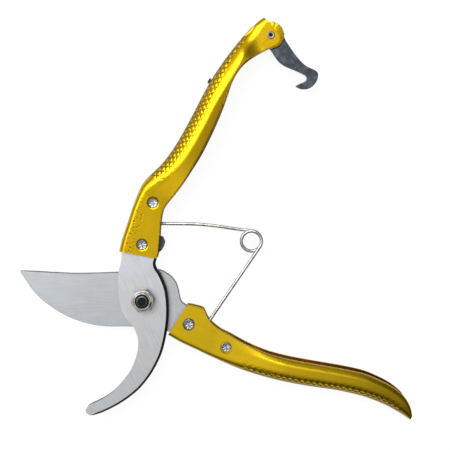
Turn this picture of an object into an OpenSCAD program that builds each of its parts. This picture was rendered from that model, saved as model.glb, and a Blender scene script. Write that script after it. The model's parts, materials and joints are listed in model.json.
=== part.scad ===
// Hand shears with a bypass jaw: a hook blade and a cutting blade on one bolt,
// pressed sheet handles, a coiled opening spring and a swinging thumb latch.
//
// Each lever is drawn as it lies with the shears closed: the pivot at the
// origin, the handles along +X, the hook lever's handle on the +Y side.
// Both are then turned apart by half the opening angle. Z is up through the bolt.

/* [Opening] */
// Angle between the levers as drawn, in degrees
opening_angle = 77; // [60:1:82]
// Turn of the latch about its eyelet, in degrees
latch_angle = 0; // [-50:5:50]

/* [Jaw] */
// Reach of both blade tips from the pivot
jaw_reach = 61.5; // [52:0.5:72]
// Thickness of the hook blade
hook_t = 3.5; // [3:0.1:4.5]
// Thickness of the cutting blade
blade_t = 3.4; // [3:0.1:4.5]
// Width of the ground bevel on the cutting blade
bevel_w = 6; // [3:0.5:8]
// Thickness left at the cutting edge
edge_t = 0.3; // [0.1:0.1:0.6]
// Gap between sliding faces
slide_gap = 0.05; // [0.03:0.01:0.1]

/* [Pivot] */
// Diameter of the bolt's plain shoulder
shoulder_d = 8; // [7:0.5:10]
// Diameter of the bolt's threaded end
thread_d = 6; // [5:0.5:6.5]
// Radial clearance around the shoulder
pivot_fit = 0.05; // [0.02:0.01:0.1]
// Diameter of the bolt head
head_d = 15; // [13:0.5:18]
// Height of the bolt head
head_h = 3.2; // [2.4:0.1:4]
// Diameter of the washer under the blade
washer_d = 14; // [12:0.5:17]
// Thickness of the washer
washer_t = 0.8; // [0.5:0.1:1.2]
// Width of the nut across its flats
nut_af = 10; // [9.5:0.1:11]
// Height of the nut's hexagon
nut_hex_h = 4.4; // [3.5:0.1:5]
// Height of the nut's round collar
nut_collar_h = 1.7; // [1.2:0.1:2.5]

/* [Handles] */
// Reach of the handles from the pivot
handle_reach = 145.5; // [130:0.5:165]
// Thickness of the handle sheet
sheet_t = 1.2; // [0.8:0.1:1.5]
// Width of the grips across the sheet
grip_w = 15; // [13:0.5:18]
// Rounding of the grips' outer corners
grip_r = 5.6; // [3:0.2:6.2]
// Rounding of the outer corners beside the pivot
tang_r = 1.6; // [1.5:0.1:2.2]

/* [Rivets] */
// Diameter of a rivet's shank
rivet_d = 3.8; // [3:0.1:4.4]
// Diameter of a rivet's flush head
rivet_head_d = 4.7; // [4.6:0.1:5.2]
// Depth of a rivet's flush head
rivet_head_h = 0.6; // [0.4:0.1:0.7]
// Width of the dished rim around a head
rivet_rim_w = 0.35; // [0.2:0.05:0.5]
// Outer diameter of a spacer around a rivet
spacer_d = 5.6; // [5.2:0.1:6.4]
// Radial clearance around a rivet
rivet_fit = 0.05; // [0.02:0.01:0.1]

/* [Spring] */
// Diameter of the spring wire
wire_d = 1.65; // [1.2:0.05:1.7]
// Mean radius of the coil
coil_r = 4.85; // [4:0.05:5.5]
// Whole turns in the coil
coil_turns = 2; // [1:1:2]
// Distance from the hook lever's seat to the coil's centre
upper_arm = 50; // [46:0.5:54]
// Distance from the blade lever's seat to the coil's centre
lower_arm = 49; // [46:0.5:54]
// Gap between the upper arm and the handle's back flange
arm_gap = 0.4; // [0.3:0.05:0.6]
// Radial clearance of the spring's end in the hook blade
seat_fit = 0.1; // [0.05:0.05:0.3]
// Diameter of the hole that the spring's other end floats in
float_d = 4.8; // [4.6:0.1:5.4]

/* [Latch] */
// Thickness of the latch plate
latch_t = 2; // [1.5:0.1:2.5]
// Gap beside the latch plate
latch_gap = 0.1; // [0.05:0.05:0.2]
// Radius of the ears around the eyelet
ear_r = 6.1; // [5.8:0.1:6.8]
// Radius of the eyelet's shank
eyelet_r = 1.4; // [1.2:0.05:1.6]
// Radius of the eyelet's rolled rims
eyelet_rim_r = 1.9; // [1.8:0.05:2.4]
// Thickness of the eyelet's rolled rims
eyelet_rim_h = 0.4; // [0.3:0.05:0.6]
// Radius of the hole through the eyelet
eyelet_bore_r = 0.8; // [0.5:0.05:0.9]
// Width of the latch slot in the lower handle
latch_slot_w = 3.2; // [3:0.1:4]
// Reach from the pivot to the front end of that slot
latch_slot_start = 117; // [112:0.5:120]
// Reach from the pivot to the slot's end, behind the bar that the latch catches
latch_slot_end = 137; // [134:0.5:137.2]
// Thickness of the latch's detent spring
leaf_t = 0.5; // [0.3:0.05:0.6]
// Radius of the detent spring's rivet
leaf_rivet_r = 1; // [0.8:0.1:1.2]
// Height of that rivet's outer head
leaf_rivet_h = 0.7; // [0.4:0.1:1]
// Reach from the pivot to that rivet
leaf_rivet_reach = 106.5; // [104:0.5:109]
// Length of the detent spring's riveted pad
leaf_pad_l = 8; // [6:0.5:9]
// Width of the detent spring's riveted pad
leaf_pad_w = 5; // [4:0.5:5.5]
// Gap between the pad and the handle's web
leaf_seat_gap = 0.3; // [0.2:0.05:0.5]

/* [Hidden] */
$fn = 64;

// Levels in Z, from the bolt head's underside up
washer_z = head_h;
floor_z = washer_z + washer_t;
blade_z = floor_z + slide_gap;
hook_z = blade_z + blade_t + slide_gap;
hook_top = hook_z + hook_t;
// The lower handle clasps the cutting blade, so it sits one sliding gap higher
lower_floor = blade_z;
lower_top = hook_top + slide_gap;
mid_z = (floor_z + hook_top) / 2;
lower_mid_z = (lower_floor + lower_top) / 2;
tang_w = hook_top - floor_z + 2 * sheet_t;
lower_tang_w = lower_top - lower_floor + 2 * sheet_t;

// Lengths that stretch with the jaw and with the handles. The jaw is drawn
// 61.5 long and the handles 145.5; past these starts their points are spread.
jaw_start = -14;
grip_start = 60;
jaw_k = (jaw_reach + jaw_start) / (61.5 + jaw_start);
grip_k = (handle_reach - grip_start) / (145.5 - grip_start);
function stretch(x) = x < jaw_start ? jaw_start + (x - jaw_start) * jaw_k
    : x > grip_start ? grip_start + (x - grip_start) * grip_k : x;
function place(p) = [stretch(p[0]), p[1]];

// Rivets, spring seats and the eyelet, in their lever's closed frame
upper_front = [22.9, 13.6];
upper_rear = [42.8, 19];
lower_front = [24.3, -4.6];
lower_rear = [44.6, -9.8];
upper_seat = [33.2, 16.2];
lower_seat = [31.4, -5.9];
eyelet = place([139.5, 10.1]);

// A smooth curve through points p, with the given number of steps between two
function curve_point(p, i, t) =
    let (n = len(p) - 1, a = p[max(i - 1, 0)], b = p[i], c = p[min(i + 1, n)], d = p[min(i + 2, n)])
    0.5 * (2 * b + (c - a) * t + (2 * a - 5 * b + 4 * c - d) * t * t
        + (3 * b - a - 3 * c + d) * t * t * t);
function curve(p, steps) =
    [for (i = [0:len(p) - 2], s = [0:steps - 1]) curve_point(p, i, s / steps), p[len(p) - 1]];
function turned(p, a) = [p[0] * cos(a) - p[1] * sin(a), p[0] * sin(a) + p[1] * cos(a)];
function unit(v) = v / norm(v);
function polar(a) = [cos(a), sin(a)];
function placed(list) = [for (p = list) place(p)];
function flat(p, z) = [p[0], p[1], z];
function backwards(list) = [for (i = [len(list) - 1:-1:0]) list[i]];

// Hook blade: concave jaw edge from the handle to the tip, then the convex back
hook_inner = [[14.8, 20.3], [11.3, 18.6], [6.3, 17.2], [2, 15.2], [-2.1, 12.7], [-6, 10],
    [-9.6, 6.6], [-11.6, 3.4], [-13.2, -1], [-14.8, -4], [-18.5, -7.7], [-24.5, -10.3],
    [-32.7, -11.5], [-41.5, -10.5], [-47.2, -8.8], [-52.1, -6.2], [-56.5, -3.2],
    [-58.5, -2.3], [-60.5, -2.4], [-61.5, -3.7], [-61.5, -5.6]];
hook_outer = [[-60.8, -6.9], [-58.2, -9.3], [-53.9, -12.4], [-49.2, -15.2], [-43.9, -17.7],
    [-38, -19.7], [-30.5, -20.9], [-22.8, -20.9], [-16.6, -20], [-9.5, -17.9], [-2.8, -15.2],
    [3.5, -11.8], [9.3, -7.6], [12.7, -3.8], [15.1, -0.4], [16.3, 2], [18, 3.8], [21.2, 4.6]];
hook_tang = [[24, 7.2], [29, 9.6], [36.5, 13], [42, 15], [48, 14.6], [51, 16.5], [51, 24.4],
    [48, 26], [44, 25.8], [36.4, 24.7], [27.5, 22.9], [20, 21.4]];

// Cutting blade: pairs of a point on the back and one on the cutting edge
blade_back = [[-61.2, -4.2], [-57, -3.3], [-53, -2.3], [-48, -1.1], [-42, 0.4], [-36, 2],
    [-30, 3.9], [-24, 5.9], [-18, 8], [-12, 10.3], [-6, 12.7]];
blade_edge = [[-61.2, -5], [-57, -8.5], [-53, -11.6], [-48, -14.5], [-42, -16.8],
    [-36, -18.4], [-30, -19.3], [-24, -19.4], [-18, -18.9], [-12, -17.6], [-6, -15.7]];
blade_hump = [[-6, 12.7], [0, 15.1], [3, 15.8], [6.1, 15.4], [9.5, 14.2], [12.4, 12.1],
    [14.7, 8.9], [16.2, 6], [18, 3.8], [21, 3.1]];
blade_tang = [[27.3, 3.3], [28.6, 2.4], [31.2, 0], [34.2, -2.2], [39, -4.3], [46, -5.6],
    [51.5, -7.2], [51.5, -16.2], [43.3, -15.4], [32.8, -13.9], [22.3, -12.3], [17, -11.4],
    [8, -12.6], [0, -14]];

// Handles: [web x, web y, inner edge x, inner edge y, width share, rounding share].
// A width share of 0 is the width beside the pivot, 1 that of the grip.
upper_rows = [[14.4, 21.8, 20.6, 4.4, 0, 0], [20, 23.4, 24.2, 5.6, 0, 0],
    [27.5, 24.9, 29, 7.8, 0, 0], [36.4, 26.7, 36.5, 11.4, 0, 0], [44, 27.8, 41.5, 13.2, 0.05, 0.1],
    [48, 28, 45, 13.3, 0.18, 0.25], [53, 27.2, 50, 12.6, 0.4, 0.5], [60, 25.2, 57, 11.9, 0.65, 0.75],
    [67, 24.2, 65, 11.5, 0.85, 0.95], [76, 23.7, 75, 11.2, 1, 1], [88, 24, 88, 12.1, 1, 1],
    [97, 24.4, 98, 13.3, 1, 1], [106.5, 24.6, 106, 14.8, 1, 1], [114, 24.2, 112.5, 15.9, 1, 1],
    [122, 23.4, 119, 15.6, 0.95, 1], [130, 22, 124.5, 13.8, 0.7, 0.8],
    [136, 20.6, 130.5, 10, 0, 0.15]];
lower_rows = [[16.2, -12.9, 20.7, 3.4, 0, 0], [22.3, -14.4, 24.3, 3.8, 0, 0],
    [27.5, -15.2, 28.2, 3.9, 0, 0], [29.8, -15.5, 29.8, 2.8, 0, 0], [32, -15.8, 31.8, 0.5, 0, 0],
    [35, -16.3, 34.6, -1.4, 0, 0], [40, -17, 39.2, -3.3, 0, 0.05], [46, -17.8, 45, -4.4, 0.12, 0.2],
    [54, -18.6, 54, -6.1, 0.4, 0.5], [64, -18.8, 64, -7.1, 0.75, 0.85], [74, -18.3, 74, -6.6, 1, 1],
    [84, -17.3, 84, -5.4, 1, 1], [94, -15.8, 94, -3.9, 1, 1], [103, -14.5, 104, -2.6, 1, 1],
    [112.5, -13.8, 112, -2.1, 1, 1], [118, -13.9, 118, -2.7, 0.98, 1],
    [123, -14.2, 124, -4, 0.92, 1], [128, -14.9, 129, -5.8, 0.85, 0.9],
    [133, -15.9, 133, -8.2, 0.75, 0.7], [136.2, -16.7, 136.2, -11.6, 0.6, 0.4],
    [138.5, -17.3, 138.4, -15.2, 0.4, 0]];

// A ring of the channel's section: out along one flange, over the web, back inside
corner_steps = 5;
function arc(c, r, a0, a1) =
    [for (k = [0:corner_steps]) c + r * polar(a0 + (a1 - a0) * k / corner_steps)];
// The section in its own plane: [depth from the web, height from the middle]
function channel_section(depth, half, r) =
    let (ro = min(r, half - 0.1), ri = max(ro - sheet_t, 0.3), hi = half - sheet_t)
    concat([[depth, -half]], arc([ro, ro - half], ro, 270, 180), arc([ro, half - ro], ro, 180, 90),
           [[depth, half], [depth, hi]], arc([sheet_t + ri, hi - ri], ri, 90, 180),
           arc([sheet_t + ri, ri - hi], ri, 180, 270), [[depth, -hi]]);
// The same ring stood between a point on the web and one on the inner edge
function channel_ring(web, rim, half, r, z) =
    let (in = unit(rim - web), depth = norm(rim - web))
    [for (q = channel_section(depth, half, min(r, depth - sheet_t - 0.4)))
        [web[0] + in[0] * q[0], web[1] + in[1] * q[0], z + q[1]]];
function handle_rings(rows, narrow, z) = [for (row = curve(rows, 2))
    channel_ring(place([row[0], row[1]]), place([row[2], row[3]]),
        (narrow + (grip_w - narrow) * min(row[4], 1)) / 2, tang_r + (grip_r - tang_r) * row[5], z)];

// A closed skin over rings that all have the same even number of points. Each
// end is closed by a strip of triangles between a ring's first and second half.
module skin(rings) {
    m = len(rings[0]);
    last = (len(rings) - 1) * m;
    points = [for (ring = rings, p = ring) p];
    sides = [for (i = [0:m:last - m], k = [0:m - 1]) let (a = i + k, b = i + (k + 1) % m)
        each [[a, b + m, b], [a, a + m, b + m]]];
    cap = [for (k = [0:m / 2 - 2]) each [[k, m - 2 - k, k + 1], [k, m - 1 - k, m - 2 - k]]];
    start = [for (t = cap) [t[2], t[1], t[0]]];
    end = [for (t = cap) [for (k = t) k + last]];
    polyhedron(points, concat(sides, start, end));
}

module plate(points, z0, z1) {
    translate([0, 0, z0]) linear_extrude(z1 - z0) polygon(points);
}
module pin(p, r, z0, z1) {
    translate([p[0], p[1], z0]) cylinder(h = z1 - z0, r = r);
}
module tube(p, r_out, r_in, z0, z1) {
    difference() {
        pin(p, r_out, z0, z1);
        pin(p, r_in, z0 - 1, z1 + 1);
    }
}
module hook_lever() rotate([0, 0, opening_angle / 2]) children();
module blade_lever() rotate([0, 0, -opening_angle / 2]) children();

module hook_blade() {
    outline = concat(curve(placed(hook_inner), 3), curve(placed(hook_outer), 3), hook_tang);
    color("silver") hook_lever() difference() {
        plate(outline, hook_z, hook_top);
        pin([0, 0], thread_d / 2 + pivot_fit, hook_z - 1, hook_top + 1);
        for (p = [upper_front, upper_rear]) pin(p, rivet_d / 2 + rivet_fit, hook_z - 1, hook_top + 1);
        pin(upper_seat, wire_d / 2 + seat_fit, hook_z - 1, hook_top + 1);
    }
}

module cutting_blade() {
    back = curve(placed(blade_back), 3);
    edge = curve(placed(blade_edge), 3);
    last = len(edge) - 1;
    body = concat(curve(blade_hump, 2), blade_tang);
    outline = concat([for (i = [0:last - 1]) back[i]], body, [for (i = [last:-1:0]) edge[i]]);
    // The grinding runs off the tip and fades out over the last steps to the heel
    slope = (blade_t - edge_t) / bevel_w;
    over = 1.5;
    fade = 8;
    ground = [for (i = [-1:last]) let (e = i < 0 ? place([-63.5, -2]) : edge[i],
            w = bevel_w * min(1, (last - i - 0.5) / fade), x = e[0], low = blade_z - 2)
        [[x, e[1] + w + over, blade_z - slope * over], [x, e[1] - over, blade_z + slope * (w + over)],
         [x, e[1] - over, low], [x, e[1] + w + over, low]]];
    color("gainsboro") blade_lever() difference() {
        plate(outline, blade_z, blade_z + blade_t);
        skin(ground);
        pin([0, 0], shoulder_d / 2 + pivot_fit, blade_z - 1, hook_z);
        for (p = [lower_front, lower_rear]) pin(p, rivet_d / 2 + rivet_fit, blade_z - 1, hook_z);
        pin(lower_seat, float_d / 2, blade_z - 1, hook_z);
    }
}

module pivot_bolt() {
    chamfer = 0.6;
    end_z = hook_top + nut_hex_h + nut_collar_h + 0.5;
    color("dimgray") rotate_extrude() polygon([[0, 0], [head_d / 2 - chamfer, 0], [head_d / 2, chamfer],
        [head_d / 2, head_h], [shoulder_d / 2, head_h], [shoulder_d / 2, hook_z],
        [thread_d / 2, hook_z], [thread_d / 2, end_z - chamfer], [thread_d / 2 - chamfer, end_z], [0, end_z]]);
}

module pivot_washer() {
    color("gray") tube([0, 0], washer_d / 2, shoulder_d / 2 + pivot_fit, washer_z, floor_z);
}

// Levels and radii of the nut's collar, which the lock ring sits under
collar_z = hook_top + nut_hex_h;
collar_top = collar_z + nut_collar_h;
ring_r = thread_d / 2 + 1.1;
lip_t = 0.4;
nut_turn = 9;

module pivot_nut() {
    color("lightslategray") hook_lever() rotate([0, 0, nut_turn]) difference() {
        union() {
            translate([0, 0, hook_top]) cylinder(h = nut_hex_h, d = nut_af / cos(30), $fn = 6);
            translate([0, 0, collar_z]) cylinder(h = nut_collar_h, r1 = nut_af / 2 - 0.1, r2 = ring_r + 0.2);
        }
        pin([0, 0], thread_d / 2 + pivot_fit, hook_top - 1, collar_top + 1);
        pin([0, 0], ring_r, collar_z, collar_top - lip_t);
        pin([0, 0], ring_r - 0.6, collar_z, collar_top + 1);
    }
}

module nut_lock_ring() {
    color("black") tube([0, 0], ring_r, thread_d / 2 + pivot_fit, collar_z, collar_top - lip_t);
}

// The round sinking for a rivet's head, in both flanges
module rivet_holes(p, z0, z1) {
    rim_r = rivet_head_d / 2 + rivet_rim_w;
    pin(p, rivet_d / 2 + rivet_fit, z0 - 1, z1 + 1);
    for (s = [0, 1]) {
        top = s ? z1 : z0;
        head = s ? -rivet_head_h : rivet_head_h;
        pin(p, rivet_head_d / 2 + rivet_fit, min(top, top + head), max(top, top + head));
        pin(p, rim_r, s ? z1 - rivet_rim_w : z0 - 1, s ? z1 + 1 : z0 + rivet_rim_w);
    }
}

module rivet(p, z0, z1) {
    pin(p, rivet_d / 2, z0, z1);
    pin(p, rivet_head_d / 2, z0, z0 + rivet_head_h);
    pin(p, rivet_head_d / 2, z1 - rivet_head_h, z1);
}

upper_low = floor_z - sheet_t;
upper_high = hook_top + sheet_t;
lower_low = lower_floor - sheet_t;
lower_high = lower_top + sheet_t;
ear_half = latch_t / 2 + latch_gap + sheet_t;
ear_corner_r = sheet_t + 0.8;
// The pressed end: points on the web, fanned out to points around the ears.
// The points around the ears are given as bearings from the eyelet.
ear_web = [[140, 19.2], [141.6, 18.7], [142.8, 18.3], [143.7, 18], [144.4, 17.7], [144.9, 17.4], [145.2, 17.1]];
ear_bearings = [204, 232, 260, 288, 316, 342, 366];
leaf_web = [stretch(leaf_rivet_reach), 24.6];

module upper_handle() {
    rings = handle_rings(upper_rows, tang_w, mid_z);
    // Past the grip the flanges close in on the latch
    ears = [for (k = [0:len(ear_web) - 1])
        channel_ring(place(ear_web[k]), eyelet + ear_r * polar(ear_bearings[k]), ear_half, ear_corner_r, mid_z)];
    color("gold") hook_lever() difference() {
        union() {
            skin(concat(rings, ears));
            for (s = [-1, 1]) pin(eyelet, ear_r, mid_z + (s < 0 ? -ear_half : ear_half - sheet_t),
                                  mid_z + (s < 0 ? sheet_t - ear_half : ear_half));
        }
        for (p = [upper_front, upper_rear]) rivet_holes(p, upper_low, upper_high);
        pin(eyelet, eyelet_r, 0, 2 * mid_z);
        translate([leaf_web[0], leaf_web[1] + 1, mid_z]) rotate([90, 0, 0]) cylinder(h = 5, r = leaf_rivet_r);
    }
}

module lower_handle() {
    slot = [stretch(latch_slot_start), stretch(latch_slot_end)];
    color("goldenrod") blade_lever() difference() {
        skin(backwards(handle_rings(lower_rows, lower_tang_w, lower_mid_z)));
        for (p = [lower_front, lower_rear]) rivet_holes(p, lower_low, lower_high);
        translate([slot[0], -22, lower_mid_z - latch_slot_w / 2]) cube([slot[1] - slot[0], 12, latch_slot_w]);
    }
}

module upper_front_rivet() { color("lightgray") hook_lever() rivet(upper_front, upper_low, upper_high); }
module upper_rear_rivet() { color("lightgray") hook_lever() rivet(upper_rear, upper_low, upper_high); }
module lower_front_rivet() { color("lightgray") blade_lever() rivet(lower_front, lower_low, lower_high); }
module lower_rear_rivet() { color("lightgray") blade_lever() rivet(lower_rear, lower_low, lower_high); }

// The block behind the hook blade that the lower handle's shoulder closes on
module stop_block() {
    outline = [[19.8, 20.4], [19.4, 14], [21, 8], [22.4, 5.4], [24.6, 4.5], [26.8, 4.5], [29, 5],
        [30.8, 7.2], [30.2, 9.2], [28.5, 11.5], [28.6, 17], [27.8, 21.6]];
    color("darkslategray") hook_lever() difference() {
        plate(outline, floor_z, hook_z);
        pin(upper_front, rivet_d / 2 + rivet_fit, floor_z - 1, hook_z + 1);
    }
}

module spacer(p, z0, z1) { tube(p, spacer_d / 2, rivet_d / 2 + rivet_fit, z0, z1); }
module upper_spacer() { color("dimgray") hook_lever() spacer(upper_rear, floor_z, hook_z); }
module lower_front_spacer() { color("dimgray") blade_lever() spacer(lower_front, blade_z + blade_t, lower_top); }
module lower_rear_spacer() { color("dimgray") blade_lever() spacer(lower_rear, blade_z + blade_t, lower_top); }

// Spring: the coil's centre is the third corner of a triangle on the two seats
seat_a = turned(upper_seat, opening_angle / 2);
seat_b = turned(lower_seat, -opening_angle / 2);
seat_span = norm(seat_b - seat_a);
apex_angle = acos((upper_arm ^ 2 + seat_span ^ 2 - lower_arm ^ 2) / (2 * upper_arm * seat_span));
coil = seat_a + upper_arm * turned(unit(seat_b - seat_a), apex_angle);
upper_arm_z = floor_z + arm_gap + wire_d / 2;
lower_arm_z = lower_top - arm_gap - wire_d / 2;
function bearing(v) = atan2(v[1], v[0]);
// Both arms leave the coil along tangents, and it winds clockwise between them
start_a = bearing(seat_a - coil) - acos(coil_r / upper_arm);
end_a = bearing(seat_b - coil) + acos(coil_r / lower_arm);
sweep_a = (start_a - end_a + 720) % 360 + 360 * coil_turns;
function on_coil(a) = coil + coil_r * polar(a);
wire_sides = 10;
bend_r = 1.6;
function wire_ring(c, side, up) = [for (k = [0:wire_sides - 1])
    c + wire_d / 2 * (cos(360 * k / wire_sides) * side + sin(360 * k / wire_sides) * up)];

module spring_upper() {
    out = unit(on_coil(start_a) - seat_a);
    side = [-out[1], out[0], 0];
    run = flat(out, 0);
    up = [0, 0, 1];
    seat = flat(seat_a, upper_arm_z);
    bend = [for (k = [0:4]) let (e = 90 * k / 4)
        wire_ring(seat + run * bend_r * (1 - cos(e)) + up * bend_r * (1 - sin(e)),
                  side, run * cos(e) + up * sin(e))];
    steps = ceil(sweep_a / 15);
    turns = [for (k = [0:steps]) let (a = start_a - sweep_a * k / steps)
        wire_ring(flat(on_coil(a), upper_arm_z + (lower_arm_z - upper_arm_z) * k / steps),
                  [cos(a), sin(a), 0], up)];
    color("whitesmoke") skin(concat([wire_ring(flat(seat_a, hook_top - 0.6), side, run)], bend, turns));
}

module spring_lower() {
    out = unit(seat_b - on_coil(end_a));
    side = [-out[1], out[0], 0];
    run = flat(out, 0);
    up = [0, 0, 1];
    seat = flat(seat_b, lower_arm_z);
    bend = [for (k = [0:4]) let (e = 90 * k / 4)
        wire_ring(seat - run * bend_r * (1 - sin(e)) - up * bend_r * (1 - cos(e)),
                  side, up * cos(e) + run * sin(e))];
    color("whitesmoke") skin(concat([wire_ring(flat(on_coil(end_a), lower_arm_z), side, up)], bend,
                                    [wire_ring(flat(seat_b, blade_z + 0.8), side, run)]));
}

// Latch outline from its eyelet: shank, hooked claw, and the round head's thumb corner
latch_outer = [[3, -5.4], [1.4, -7.4], [-1.1, -12.5], [-2.6, -16], [-3.7, -19.5], [-4.1, -22.6],
    [-3.8, -25.2], [-3.8, -27.4], [-4.9, -28.8], [-7.2, -29.6], [-9.5, -29.5], [-11.9, -28.7],
    [-13.7, -27], [-14.8, -24.8], [-15, -22.8]];
latch_inner = [[-14.9, -22.1], [-13.6, -22.8], [-12, -24], [-10.5, -25], [-9.1, -24.9], [-8.2, -23.6],
    [-8.4, -19.5], [-8.8, -16.4], [-9.2, -13], [-8.8, -9.4], [-7.4, -6.2], [-5.5, -2.4]];
latch_head_r = 5.6;
latch_corner = [6.4, 2.2];

module latch() {
    head = [for (a = [195:-15:45]) latch_head_r * polar(a)];
    outline = concat(head, [latch_corner + [-0.9, 1.3], latch_corner], [[5.6, 0], [5.2, -2.4]],
                     curve(latch_outer, 2), curve(latch_inner, 2));
    color("slategray") hook_lever() translate([eyelet[0], eyelet[1], mid_z - latch_t / 2])
        rotate([0, 0, latch_angle]) difference() {
            linear_extrude(latch_t) polygon(outline);
            pin([0, 0], eyelet_r + pivot_fit, -1, latch_t + 1);
        }
}

module latch_eyelet() {
    ear_low = mid_z - ear_half;
    ear_high = mid_z + ear_half;
    color("silver") hook_lever() difference() {
        union() {
            pin(eyelet, eyelet_r, ear_low - eyelet_rim_h, ear_high + eyelet_rim_h);
            pin(eyelet, eyelet_rim_r, ear_low - eyelet_rim_h, ear_low);
            pin(eyelet, eyelet_rim_r, ear_high, ear_high + eyelet_rim_h);
        }
        pin(eyelet, eyelet_bore_r, 0, 2 * mid_z);
    }
}

// Leaf spring riveted under the web, its finger resting over the latch's head
module latch_detent_spring() {
    seat_y = leaf_web[1] - sheet_t - leaf_seat_gap - leaf_t / 2;
    pad_half = leaf_pad_l / 2;
    nose = eyelet + (latch_head_r + 0.3 + leaf_t / 2) * polar(127);
    line = curve([[leaf_web[0] - pad_half, seat_y], [leaf_web[0], seat_y],
                  [leaf_web[0] + pad_half, seat_y], [stretch(120), 21], [stretch(129), 18.6], nose], 3);
    last = len(line) - 1;
    normals = [for (i = [0:last]) let (t = unit(line[min(i + 1, last)] - line[max(i - 1, 0)])) [-t[1], t[0]]];
    strip = concat([for (i = [0:last]) line[i] + normals[i] * leaf_t / 2],
                   [for (i = [last:-1:0]) line[i] - normals[i] * leaf_t / 2]);
    finger_w = latch_t - 0.2;
    color("lightsteelblue") hook_lever() difference() {
        union() {
            plate(strip, mid_z - finger_w / 2, mid_z + finger_w / 2);
            translate([leaf_web[0] - pad_half, seat_y - leaf_t / 2, mid_z - leaf_pad_w / 2])
                cube([leaf_pad_l, leaf_t, leaf_pad_w]);
        }
        translate([leaf_web[0], seat_y + 2, mid_z]) rotate([90, 0, 0]) cylinder(h = 4, r = leaf_rivet_r);
    }
}

module detent_rivet() {
    pad_y = leaf_web[1] - sheet_t - leaf_seat_gap - leaf_t;
    head_r = leaf_rivet_r + 0.6;
    tail_h = 0.5;
    color("gold") hook_lever() translate([leaf_web[0], 0, mid_z]) rotate([-90, 0, 0]) {
        translate([0, 0, pad_y - tail_h]) cylinder(h = tail_h, r = head_r);
        translate([0, 0, pad_y - 0.1]) cylinder(h = leaf_web[1] - pad_y + 0.2, r = leaf_rivet_r);
        translate([0, 0, leaf_web[1] + 0.05]) cylinder(h = leaf_rivet_h, r1 = head_r, r2 = head_r - 0.5);
    }
}

hook_blade();
cutting_blade();
pivot_bolt();
pivot_washer();
pivot_nut();
nut_lock_ring();
upper_handle();
lower_handle();
upper_front_rivet();
upper_rear_rivet();
lower_front_rivet();
lower_rear_rivet();
stop_block();
upper_spacer();
lower_front_spacer();
lower_rear_spacer();
spring_upper();
spring_lower();
latch();
latch_eyelet();
latch_detent_spring();
detent_rivet();
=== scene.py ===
import json
from math import acos, atan2, ceil, cos, hypot, pi, radians, sin

import bpy
from mathutils import Matrix, Vector


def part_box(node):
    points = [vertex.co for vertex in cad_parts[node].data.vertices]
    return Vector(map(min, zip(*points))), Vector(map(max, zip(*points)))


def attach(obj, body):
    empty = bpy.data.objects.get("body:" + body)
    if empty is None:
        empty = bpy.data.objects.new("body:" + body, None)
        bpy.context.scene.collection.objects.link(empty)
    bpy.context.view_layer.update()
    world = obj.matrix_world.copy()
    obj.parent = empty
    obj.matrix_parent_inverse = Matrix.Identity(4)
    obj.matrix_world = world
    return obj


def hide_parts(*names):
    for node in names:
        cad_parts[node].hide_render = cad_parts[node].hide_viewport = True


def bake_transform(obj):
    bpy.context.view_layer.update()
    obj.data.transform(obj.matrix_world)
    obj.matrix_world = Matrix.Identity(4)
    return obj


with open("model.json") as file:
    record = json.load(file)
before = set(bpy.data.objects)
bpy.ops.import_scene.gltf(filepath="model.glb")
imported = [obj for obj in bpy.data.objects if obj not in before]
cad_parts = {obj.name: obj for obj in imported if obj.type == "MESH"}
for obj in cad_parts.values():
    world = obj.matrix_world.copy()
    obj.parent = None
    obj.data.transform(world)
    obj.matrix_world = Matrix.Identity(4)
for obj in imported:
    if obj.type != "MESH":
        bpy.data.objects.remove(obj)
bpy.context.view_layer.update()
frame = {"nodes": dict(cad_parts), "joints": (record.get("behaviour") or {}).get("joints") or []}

# ---------------------------------------------------------------- bench and lamps
# The shears lie open on a white photo table, bolt head down. A large soft box
# hangs over the upper left, the room falls off to grey at the lower right, and
# the camera looks almost straight down from half a metre.
mm = 0.001
scene = bpy.context.scene
scene.view_settings.view_transform = "Standard"
page_right = Vector((cos(radians(-21.5)), sin(radians(-21.5)), 0))
page_up = Vector((-page_right.y, page_right.x, 0))


class Level:
    """A number that varies over a surface, so that its maths is written as plain expressions."""

    def __init__(self, finish, socket):
        self.finish, self.socket = finish, socket

    def maths(self, operation, *others):
        return self.finish.add("ShaderNodeMath", {"operation": operation}, dict(enumerate((self,) + others)))

    def __add__(self, other):
        return self.maths("ADD", other)

    __radd__ = __add__

    def __sub__(self, other):
        return self.maths("SUBTRACT", other)

    def __rsub__(self, other):
        return self.maths("MULTIPLY_ADD", -1, other)

    def __mul__(self, other):
        return self.maths("MULTIPLY", other)

    __rmul__ = __mul__

    def __pow__(self, other):
        return self.maths("POWER", other)


class Finish:
    """A surface finish or a light's pattern, mixed from nodes that are added one by one."""

    def __init__(self, owner):
        owner.use_nodes = True
        self.owner, self.tree = owner, owner.node_tree

    def add(self, kind, settings, sockets, output=0):
        node = self.tree.nodes.new(kind)
        for key, value in settings.items():
            setattr(node, key, value)
        for key, value in sockets.items():
            self.join(node.inputs[key], value)
        return Level(self, node.outputs[output])

    def join(self, socket, value):
        if isinstance(value, Level):
            self.tree.links.new(value.socket, socket)
        else:
            socket.default_value = value

    def between(self, level, low, high):
        """0 below low, 1 above high and smooth between them."""
        return self.add("ShaderNodeMapRange", {"interpolation_type": "SMOOTHSTEP"},
                        {"Value": level, "From Min": low, "From Max": high})

    def blend(self, share, first, second):
        """A colour between two others."""
        return self.add("ShaderNodeMix", {"data_type": "RGBA"}, {0: share, 6: first, 7: second}, 2)


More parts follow.
